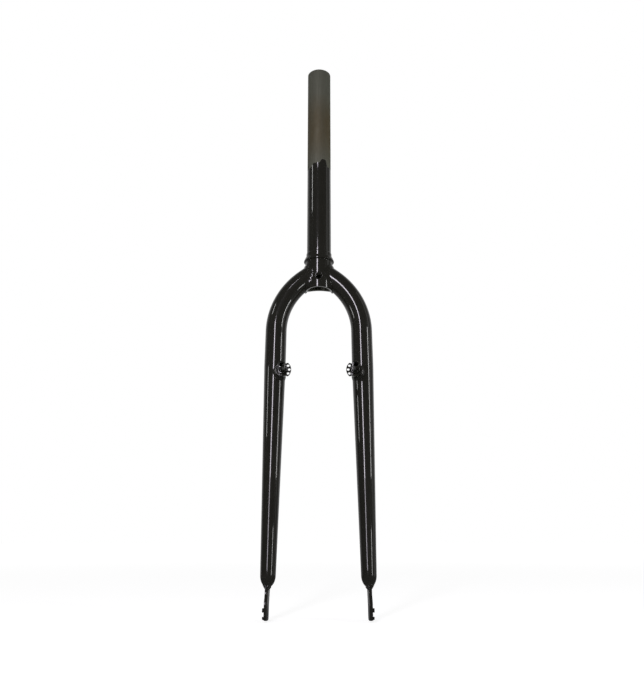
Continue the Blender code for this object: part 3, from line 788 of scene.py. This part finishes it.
def dropout_outline(sizes):
    """Side outline of the dropout as (back, up) from the axle, anticlockwise from the front tip."""
    half_slot = sizes.slot_width / 2
    half_tang = sizes.tang_width / 2
    turn = sizes.shoulder
    slope = sizes.half_width - half_tang - 2 * turn * (1 - math.cos(math.pi / 4))
    neck = sizes.shoulder_height + 2 * turn * math.sin(math.pi / 4) + slope
    eyelet = (sizes.eyelet_back, sizes.eyelet_height)
    eyelet_radius = sizes.eyelet_diameter / 2
    side_top = (sizes.half_width, sizes.shoulder_height)
    web_foot = (half_tang, sizes.neck_length - sizes.web_drop)
    lower = touching_angle(side_top, eyelet, eyelet_radius, 1)
    upper = touching_angle(web_foot, eyelet, eyelet_radius, -1) % 360
    tang_top = sizes.neck_length + sizes.tang_depth
    tip_round = 0.9 * MM
    corners = [(-half_slot, -sizes.tip_drop, tip_round)]
    corners += arc((0, 0), half_slot, 180, 0, 28)
    corners += [(half_slot, -sizes.tip_drop, tip_round)]
    corners += [(sizes.half_width, -sizes.tip_drop, sizes.corner)]
    corners += [(*side_top, 2.5 * MM)]
    corners += arc(eyelet, eyelet_radius, lower, upper, 30)
    corners += [(*web_foot, 1.2 * MM), (half_tang, tang_top, MM), (-half_tang, tang_top, MM)]
    corners += arc((-half_tang - turn, neck), turn, 0, -45, 8)
    corners += arc((turn - sizes.half_width, sizes.shoulder_height), turn, 135, 180, 8)
    corners += [(-sizes.half_width, -sizes.tip_drop, sizes.corner)]
    return round_corners(corners, 8)


def build_dropout(scene, side, word):
    """Forged plate with its eyelet, and the retention lugs that stand on its outer face."""
    path = BladePath(scene)
    sizes = path.dropouts
    across = side * path.plate_middle
    to_side = Matrix(((0, 0, side, across), (1, 0, 0, 0), (0, 1, 0, path.axle_z), (0, 0, 0, 1)))
    half = sizes.thickness / 2
    eyelet = Vector((sizes.eyelet_back, sizes.eyelet_height))
    hole = hole_path(eyelet, sizes.eyelet_hole / 2, 40)
    bm = bmesh.new()
    lands = (-sizes.tip_land, sizes.tip_land)
    plate(bm, [dropout_outline(sizes), hole], -half, half, sizes.edge, to_side, lands)

    margin = 0.3 * MM
    soft = 0.7 * MM
    top = half + sizes.lug_height
    edge = sizes.half_width - margin
    inner = edge - sizes.lug_width
    end = sizes.side_lug / 2
    taper = sizes.lug_width / 3
    near = sizes.slot_width / 2 + margin
    far = sizes.half_width - sizes.corner + margin
    widest = far + sizes.corner * 0.4
    low = margin - sizes.tip_drop
    drop = sizes.side_lug_drop
    side_lug = [
        (edge, end - drop, soft),
        (inner, end - taper - drop, soft),
        (inner, taper - end - drop, soft),
        (edge, -end - drop, soft),
    ]
    tip_lug = [
        (near, low, soft),
        (far, low, soft),
        (widest, low + sizes.tip_lug / 2, soft),
        (widest, low + sizes.tip_lug, soft),
        (near, low + sizes.tip_lug, soft),
    ]
    for sign in (-1, 1):
        for lug in (side_lug, tip_lug):
            outline = round_corners([(sign * x, y, soften) for x, y, soften in lug])
            area = sum(a.x * b.y - b.x * a.y for a, b in zip(outline, outline[1:] + outline[:1]))
            if area < 0:
                outline.reverse()
            plate(bm, [outline], 0.0, top, 0.35 * MM, to_side, (sizes.tip_land,))
    for vertex in bm.verts:
        from_middle = side * vertex.co.x - path.plate_middle
        face = top if from_middle > 0 else half
        slope = sizes.tip_bevel / (face - sizes.tip_land)
        bevel = path.axle_z - sizes.tip_drop + slope * (abs(from_middle) - sizes.tip_land)
        vertex.co.z = max(vertex.co.z, bevel)
    finish = finish_for(scene, "paint")
    place(f"forged_dropout_{word}", bm, finish, f"dropout_{word}", path.plane, 50.0, True)


def boss_base_ring(path, side, part, sides):
    """Ring of the boss base: part 0 is its foot on the blade, part 1 its neck at the plate."""
    sizes = path.bosses
    foot, neck = sizes.foot_diameter / 2, sizes.neck_diameter / 2
    radius = foot + (neck - foot) * part
    middle = path.pivot.x + sizes.foot_shift * (1 - part)
    forward = (sizes.reach + sizes.back) * part - sizes.back
    points = []
    for step in range(sides):
        at = math.tau * step / sides
        x = side * (middle - radius * math.cos(at))
        points.append(Vector((x, -forward, path.pivot.y + radius * math.sin(at))))
    return points


def boss_frame(path, side):
    """Frame with +Z forward along the pivot, from the leg plane."""
    return Matrix.Translation((side * path.pivot.x, 0, path.pivot.y)) @ Matrix.Rotation(math.pi / 2, 4, "X")


def post_profile(sizes):
    """Section of the pivot post and its threaded hole, from the collar's back to the hole's end."""
    collar = sizes.collar_diameter / 2
    post = sizes.post_diameter / 2
    hole = sizes.hole_diameter / 2
    thread = sizes.thread_diameter / 2
    plate_front = sizes.reach + sizes.plate_gap + sizes.plate_thickness
    collar_end = plate_front + sizes.collar_length
    end = collar_end + sizes.post_length
    bottom = end - sizes.hole_depth
    chamfer = 0.3 * MM
    profile = [(0.0, sizes.reach - sizes.collar_length)]
    corners = [
        (0.0, sizes.reach - sizes.collar_length, 0.0),
        (collar, sizes.reach - sizes.collar_length, 0.0),
        (collar, collar_end, 0.35 * MM),
        (post, collar_end, 0.4 * MM),
        (post, end - chamfer, 0.15 * MM),
        (post - chamfer, end - 0.08 * MM, 0.15 * MM),
        (thread + 0.15 * MM, end, 0.1 * MM),
        (0.0, end, 0.0),
    ]
    profile += [tuple(point) for point in round_corners(corners, 4)[1:-1]]
    level = end - 0.5 * MM
    while level > bottom + sizes.thread_pitch:
        profile += [
            (hole, level),
            (hole, level - 0.15 * sizes.thread_pitch),
            (thread, level - 0.55 * sizes.thread_pitch),
            (thread, level - 0.65 * sizes.thread_pitch),
        ]
        level -= sizes.thread_pitch
    profile += [(hole, level), (hole, bottom), (0.0, bottom - hole / 2)]
    return profile


def build_boss(scene, side, word):
    """Forged base that leans from the blade's front to the pivot, with the turned post on it."""
    path = BladePath(scene)
    sides = scene.fork_studio.sides
    soften = 0.7 * MM
    parts = 8
    rings = [boss_base_ring(path, side, part / parts, sides) for part in range(parts)]
    neck = boss_base_ring(path, side, 1.0, sides)
    middle = sum(neck, Vector()) / sides
    steps = 5
    for step in range(steps + 1):
        at = math.pi / 2 * step / steps
        back = Vector((0, soften * (1 - math.sin(at)), 0))
        pull = soften * (1 - math.cos(at)) / (path.bosses.neck_diameter / 2)
        rings.append([point.lerp(middle, pull) + back for point in neck])
    bm = bmesh.new()
    loops = skin(bm, rings)
    for loop in (loops[0], loops[-1]):
        centre = sum((vertex.co for vertex in loop), Vector()) / sides
        bridge(bm, [bm.verts.new(centre)], loop)
    known = set(bm.verts)
    lathe(bm, post_profile(path.bosses), 72)
    turned = [vertex for vertex in bm.verts if vertex not in known]
    bmesh.ops.transform(bm, matrix=boss_frame(path, side), verts=turned)
    finish = finish_for(scene, "paint")
    place(f"pivot_boss_{word}", bm, finish, f"brake_boss_{word}", path.plane, 42.0, True)


def build_spring_plate(scene, side, word):
    """Stamped plate behind the brake arm, its tab with three spring holes towards the wheel."""
    path = BladePath(scene)
    sizes = path.bosses
    steps = 200
    outline = []
    for step in range(steps):
        at = math.tau * step / steps
        from_tab = abs(math.remainder(at - math.pi, math.tau))
        part = min(max((sizes.tab_angle - from_tab) / sizes.tab_blend + 0.5, 0.0), 1.0)
        radius = sizes.plate_radius + (sizes.tab_radius - sizes.plate_radius) * part * part * (3 - 2 * part)
        outline.append(radius * Vector((math.cos(at), math.sin(at))))
    outlines = [outline, hole_path(Vector((0, 0)), sizes.collar_diameter / 2 + sizes.plate_gap, 64)]
    for number in (-1, 0, 1):
        at = math.pi + number * sizes.spring_pitch
        spot = sizes.spring_circle * Vector((math.cos(at), math.sin(at)))
        outlines.append(hole_path(spot, sizes.spring_hole / 2, 32))
    low = sizes.reach + sizes.plate_gap
    mirror = Matrix.Diagonal((side, 1, 1, 1))
    bm = bmesh.new()
    edge = 0.22 * MM
    plate(bm, outlines, low, low + sizes.plate_thickness, edge, boss_frame(path, side) @ mirror)
    finish = finish_for(scene, "paint")
    name, node = f"stamped_spring_plate_{word}", f"spring_plate_{word}"
    place(name, bm, finish, node, path.plane, 50.0, True)


def weld(bm, seam, leg, sizes, closed):
    """Rippled fillet bead along a seam of (point, normal of each of the two surfaces, size)."""
    points = [seam_point[0] for seam_point in seam]
    count = len(seam)
    lengths = [0.0]
    for before, after in zip(points, points[1:]):
        lengths.append(lengths[-1] + (after - before).length)
    total = lengths[-1] + ((points[0] - points[-1]).length if closed else 0.0)
    ripples = round(total / sizes.ripple_pitch)
    lumps = round(total / sizes.lump_pitch)
    across = 10
    rings = []
    for index, (point, first, second, size) in enumerate(seam):
        before = points[index - 1] if closed or index else point
        after = points[(index + 1) % count] if closed or index < count - 1 else point
        along = (after - before).normalized()
        first_way = along.cross(first).normalized()
        first_way *= math.copysign(1.0, first_way.dot(second))
        second_way = along.cross(second).normalized()
        second_way *= math.copysign(1.0, second_way.dot(first))
        out = (first + second).normalized()
        if not closed:
            size *= min(1.0, math.sqrt(min(lengths[index], total - lengths[index]) / leg + 0.04))
        wander = 1 + 0.08 * math.sin(math.tau * 5 * lengths[index] / total) if closed else 1.0
        reach = leg * size * wander
        start = point + reach * first_way - sizes.sink * first
        end = point + reach * second_way - sizes.sink * second
        knee = (start + end) / 2 + 2 * sizes.bulge * size * out
        swell = sizes.lump * (0.5 + 0.5 * math.sin(math.tau * lumps * lengths[index] / total))
        section = []
        for step in range(across + 1):
            part = step / across
            middle = 4 * part * (1 - part)
            phase = ripples * lengths[index] / total + 0.45 * middle
            scale = abs(math.sin(math.pi * phase)) ** 0.7
            spot = start.lerp(knee, part).lerp(knee.lerp(end, part), part)
            section.append(spot + (sizes.ripple * scale + swell) * size * middle**0.6 * out)
        section.append(point - 0.5 * reach * out)
        rings.append(section)
    loops = skin(bm, rings, closed)
    if not closed:
        bm.faces.new(loops[0])
        bm.faces.new(loops[-1])


def crown_seam(path, side):
    """Seam between blade and crown base, its bead thin on the underside."""
    seam = []
    steps = 420
    turning = path.plane.to_3x3()
    for step in range(steps):
        turn = math.tau * step / steps
        distance = path.cope(turn)
        point = path.plane @ path.surface(side, distance, turn)
        radial = Vector((point.x, point.y, 0)).normalized()
        under = max(0.0, -math.cos(turn))
        seam.append((point, radial, turning @ path.normal(side, distance, turn), 1 - 0.75 * under**4))
    return seam


def boss_seam(path, side):
    """Seam between the boss base and the blade's front, open where the base passes the blade."""
    sizes = path.bosses
    distance = path.length - (path.pivot.y - path.end.y)
    axis, _ = path.axis(distance)
    radius = path.radius(distance)
    sides = 240
    least_depth = 0.12
    seam = []
    feet = boss_base_ring(path, side, 0.0, sides)
    necks = boss_base_ring(path, side, 1.0, sides)
    for foot, neck in zip(feet, necks):
        inside, outside = 0.0, 1.0
        for _ in range(30):
            middle = (inside + outside) / 2
            spot = foot.lerp(neck, middle)
            if math.hypot(side * spot.x - axis.x, spot.y) < radius:
                inside = middle
            else:
                outside = middle
        if inside > least_depth:
            point = foot.lerp(neck, outside)
            centre_x = side * (path.pivot.x + sizes.foot_shift * (1 - outside))
            own = Vector((point.x - centre_x, 0, point.z - path.pivot.y)).normalized()
            blade = Vector((point.x - side * axis.x, point.y, 0)).normalized()
            seam.append((point, own, blade, 1.0))
    return seam


def dropout_seam(path, side):
    """Seam round the tang, where it enters the blade's domed end."""
    sizes = path.dropouts
    half_x = sizes.thickness / 2
    half_y = sizes.tang_width / 2
    corners = [(x * half_x, y * half_y, 1.2 * MM) for x, y in ((-1, -1), (1, -1), (1, 1), (-1, 1))]
    outline = round_corners(corners, 10)
    outline = split_long(outline + outline[:1], 0.25 * MM)[:-1]
    inset_x = path.legs.end_inset
    radius = path.legs.end_diameter / 2
    dome = path.legs.dome_length
    seam = []
    for index, spot in enumerate(outline):
        from_axis = Vector((spot.x + inset_x, spot.y))
        reach = min(from_axis.length / radius, 0.97)
        height = dome * (1 - math.sqrt(1 - reach * reach))
        point = Vector((side * (path.plate_middle + spot.x), spot.y, path.tip_z + height))
        travel = outline[(index + 1) % len(outline)] - outline[index - 1]
        own = Vector((side * travel.y, -travel.x, 0)).normalized()
        slope = Vector((side * from_axis.x / radius**2, from_axis.y / radius**2, (height - dome) / dome**2))
        seam.append((point, own, slope.normalized(), 1.0))
    return seam


def build_weld(scene, kind, side, word):
    """Bead at the crown, at a boss or at a dropout; that of a boss is open beside the blade."""
    path = BladePath(scene)
    sizes = scene.fork_welds
    seams = {"crown": crown_seam, "boss": boss_seam, "dropout": dropout_seam}
    legs = {"crown": sizes.crown_leg, "boss": sizes.boss_leg, "dropout": sizes.dropout_leg}
    bm = bmesh.new()
    weld(bm, seams[kind](path, side), legs[kind], sizes, closed=kind != "boss")
    matrix = Matrix.Identity(4) if kind == "crown" else path.plane
    finish = finish_for(scene, "weld")
    place(f"{kind}_bead_{word}", bm, finish, f"weld_{kind}_{word}", matrix, 75.0)


class FORK_OT_steerer(bpy.types.Operator):
    """Build the steerer with its race seat, flange and drilled crown base"""

    bl_idname = "fork.steerer"
    bl_label = "Steerer"

    def execute(self, context):
        build_steerer(context.scene)
        return {"FINISHED"}


class FORK_OT_blades(bpy.types.Operator):
    """Build the two bent and tapered blades"""

    bl_idname = "fork.blades"
    bl_label = "Blades"

    def execute(self, context):
        for side, word in SIDES:
            build_blade(context.scene, side, word)
        return {"FINISHED"}


class FORK_OT_dropouts(bpy.types.Operator):
    """Build the two dropouts with their lugs and eyelets"""

    bl_idname = "fork.dropouts"
    bl_label = "Dropouts"

    def execute(self, context):
        for side, word in SIDES:
            build_dropout(context.scene, side, word)
        return {"FINISHED"}


class FORK_OT_bosses(bpy.types.Operator):
    """Build the two brake bosses with their threaded posts"""

    bl_idname = "fork.bosses"
    bl_label = "Brake bosses"

    def execute(self, context):
        for side, word in SIDES:
            build_boss(context.scene, side, word)
        return {"FINISHED"}


class FORK_OT_spring_plates(bpy.types.Operator):
    """Build the plates that hold the ends of the brake springs"""

    bl_idname = "fork.spring_plates"
    bl_label = "Spring plates"

    def execute(self, context):
        for side, word in SIDES:
            build_spring_plate(context.scene, side, word)
        return {"FINISHED"}


class FORK_OT_welds(bpy.types.Operator):
    """Build the weld beads at the crown, the bosses and the dropouts"""

    bl_idname = "fork.welds"
    bl_label = "Weld beads"

    def execute(self, context):
        for side, word in SIDES:
            for kind in ("crown", "boss", "dropout"):
                build_weld(context.scene, kind, side, word)
        return {"FINISHED"}


def ray_kinds(tree):
    """Whether the ray comes from the camera, and whether from a gloss or from clear glass."""
    path = add_node(tree, "ShaderNodeLightPath")
    gloss = maths(tree, "MAXIMUM", path.outputs["Is Glossy Ray"], path.outputs["Is Transmission Ray"])
    return path.outputs["Is Camera Ray"], gloss


def build_world(studio):
    """White to the camera; to gloss a pale backdrop behind the fork and a dim room before it."""
    world = bpy.data.worlds.new("studio_room")
    bpy.context.scene.world = world
    world.use_nodes = True
    tree = world.node_tree
    tree.nodes.clear()
    camera, gloss = ray_kinds(tree)
    coordinates = add_node(tree, "ShaderNodeTexCoord")
    split = add_node(tree, "ShaderNodeSeparateXYZ")
    tree.links.new(coordinates.outputs["Generated"], split.inputs["Vector"])
    behind = maths(tree, "MAXIMUM", split.outputs["Y"], 0.0)
    squared = maths(tree, "MULTIPLY", behind, behind)
    room = remap(tree, squared, 0.0, 0.33, studio.room_front, studio.room_back)
    unseen = blend_numbers(tree, gloss, studio.room_fill, room)
    background = add_node(tree, "ShaderNodeBackground")
    background.inputs["Color"].default_value = (1.0, 1.0, 1.0, 1.0)
    tree.links.new(blend_numbers(tree, camera, unseen, 1.0), background.inputs["Strength"])
    output = add_node(tree, "ShaderNodeOutputWorld")
    tree.links.new(background.outputs["Background"], output.inputs["Surface"])


def build_floor(studio):
    """Plain white floor under the dropouts, which keeps a faint shadow."""
    half = studio.floor_size / 2
    mesh = bpy.data.meshes.new("floor")
    corners = [(-half, -half, 0), (half, -half, 0), (half, half, 0), (-half, half, 0)]
    mesh.from_pydata(corners, [], [(0, 1, 2, 3)])
    floor = bpy.data.objects.new("floor", mesh)
    floor.location = (0, 0, solid_box[0].z)
    bpy.context.scene.collection.objects.link(floor)
    finish, tree, shader = nodes_of("white_floor")
    tree.nodes.remove(shader)
    camera, gloss = ray_kinds(tree)
    matt = add_node(tree, "ShaderNodeBsdfDiffuse")
    matt.inputs["Color"].default_value = (0.8, 0.8, 0.8, 1.0)
    spot = object_space(tree)
    white = remap(tree, length_of(tree, spot), 0.3, 2.5, studio.floor_near, studio.floor_far)
    split = add_node(tree, "ShaderNodeSeparateXYZ")
    tree.links.new(spot, split.inputs["Vector"])
    far_gloss = 0.6 * studio.room_back
    mirrored = remap(tree, split.outputs["Y"], 0.1, 1.0, studio.floor_gloss, far_gloss)
    glow = add_node(tree, "ShaderNodeEmission")
    tree.links.new(blend_numbers(tree, camera, mirrored, white), glow.inputs["Strength"])
    added = maths(tree, "MAXIMUM", maths(tree, "MULTIPLY", camera, 1 - studio.floor_shadow), gloss)
    mix = add_node(tree, "ShaderNodeMixShader")
    tree.links.new(added, mix.inputs[0])
    tree.links.new(matt.outputs[0], mix.inputs[1])
    tree.links.new(glow.outputs[0], mix.inputs[2])
    tree.links.new(mix.outputs[0], tree.nodes["Material Output"].inputs["Surface"])
    mesh.materials.append(finish)


def soft_box(name, degrees, low, high, width, brightness, tint=(1.0, 1.0, 1.0)):
    """Upright lamp round the fork, its face as bright as given, white being 1.

    The angle goes from the camera's side to the right, and low and high are the ends of the box.
    """
    distance = 0.8
    height = high - low
    middle = (high + low) / 2
    at = math.radians(degrees)
    lamp = bpy.data.lights.new(name, "AREA")
    lamp.color = tint
    lamp.shape = "RECTANGLE"
    lamp.size = width
    lamp.size_y = height
    lamp.energy = brightness * math.pi * width * height
    item = bpy.data.objects.new(name, lamp)
    item.location = (distance * math.sin(at), -distance * math.cos(at), middle)
    item.rotation_euler = (math.pi / 2, 0, at)
    bpy.context.scene.collection.objects.link(item)


def build_lamps(studio):
    """Tall key beside the camera in four lengths, narrow boxes at both sides, and a broad card."""
    key_angle, key_width = -14, 0.10
    key, tint = studio.key, studio.key_tint
    soft_box("key_box", key_angle, -0.07, 0.35, key_width, key, tint)
    soft_box("key_tip_box", key_angle, 0.35, 0.372, 0.45 * key_width, 0.5 * key, tint)
    soft_box("low_key_box", key_angle - 2, -0.27, -0.07, key_width, 0.5 * key, tint)
    soft_box("upper_box", key_angle, 0.565, 0.605, key_width, 0.7 * key, tint)
    rim_width = 0.065
    soft_box("left_low_box", -72, -0.03, 0.14, rim_width, 0.6 * studio.rim)
    soft_box("left_high_box", -69, 0.445, 0.62, rim_width, 0.7 * studio.rim)
    soft_box("right_box", 66, -0.11, 0.27, rim_width, studio.rim)
    soft_box("right_low_box", 50, -0.33, -0.2, rim_width, 0.8 * studio.rim)
    card_width = 0.22
    soft_box("right_card", 84, -0.4, 0.9, card_width, studio.card)


def build_camera(studio):
    lens = bpy.data.cameras.new("portrait_camera")
    lens.sensor_fit = "VERTICAL"
    lens.sensor_height = 36.0
    lens.lens = studio.camera_lens
    lens.clip_end = 100.0
    camera = bpy.data.objects.new("portrait_camera", lens)
    camera.location = studio.camera_place
    camera.rotation_euler = (math.pi / 2 + studio.camera_tilt, 0, 0)
    bpy.context.scene.collection.objects.link(camera)
    bpy.context.scene.camera = camera


class FORK_OT_stage(bpy.types.Operator):
    """Set the camera, the soft boxes, the white room and the floor"""

    bl_idname = "fork.stage"
    bl_label = "Studio"

    def execute(self, context):
        studio = context.scene.fork_studio
        build_world(studio)
        build_floor(studio)
        build_lamps(studio)
        build_camera(studio)
        context.scene.view_settings.view_transform = "Standard"
        return {"FINISHED"}


class FORK_PT_builder(bpy.types.Panel):
    """Buttons and sizes of the fork"""

    bl_idname = "FORK_PT_builder"
    bl_label = "Bicycle Fork"
    bl_space_type = "VIEW_3D"
    bl_region_type = "UI"
    bl_category = "Fork"

    def draw(self, context):
        for operator in OPERATORS:
            self.layout.operator(operator.bl_idname)
        for name, group in SETTINGS.items():
            box = self.layout.box()
            box.label(text=group.__doc__)
            for prop in group.__annotations__:
                box.prop(getattr(context.scene, name), prop)


SETTINGS = {
    "fork_steerer": ForkSteererSizes,
    "fork_legs": ForkLegSizes,
    "fork_dropouts": ForkDropoutSizes,
    "fork_bosses": ForkBossSizes,
    "fork_welds": ForkWeldSizes,
    "fork_finish": ForkFinish,
    "fork_studio": ForkStudio,
}
OPERATORS = (
    FORK_OT_steerer,
    FORK_OT_blades,
    FORK_OT_dropouts,
    FORK_OT_bosses,
    FORK_OT_spring_plates,
    FORK_OT_welds,
    FORK_OT_stage,
)


def register():
    for group in SETTINGS.values():
        bpy.utils.register_class(group)
    for name, group in SETTINGS.items():
        setattr(bpy.types.Scene, name, PointerProperty(type=group))
    for cls in (*OPERATORS, FORK_PT_builder):
        bpy.utils.register_class(cls)


def unregister():
    for cls in (FORK_PT_builder, *reversed(OPERATORS)):
        bpy.utils.unregister_class(cls)
    for name in SETTINGS:
        delattr(bpy.types.Scene, name)
    for group in reversed(SETTINGS.values()):
        bpy.utils.unregister_class(group)


def main():
    register()
    bpy.ops.fork.steerer()
    bpy.ops.fork.blades()
    bpy.ops.fork.dropouts()
    bpy.ops.fork.bosses()
    bpy.ops.fork.spring_plates()
    bpy.ops.fork.welds()
    bpy.ops.fork.stage()
    bpy.context.view_layer.update()


if __name__ == "__main__":
    main()
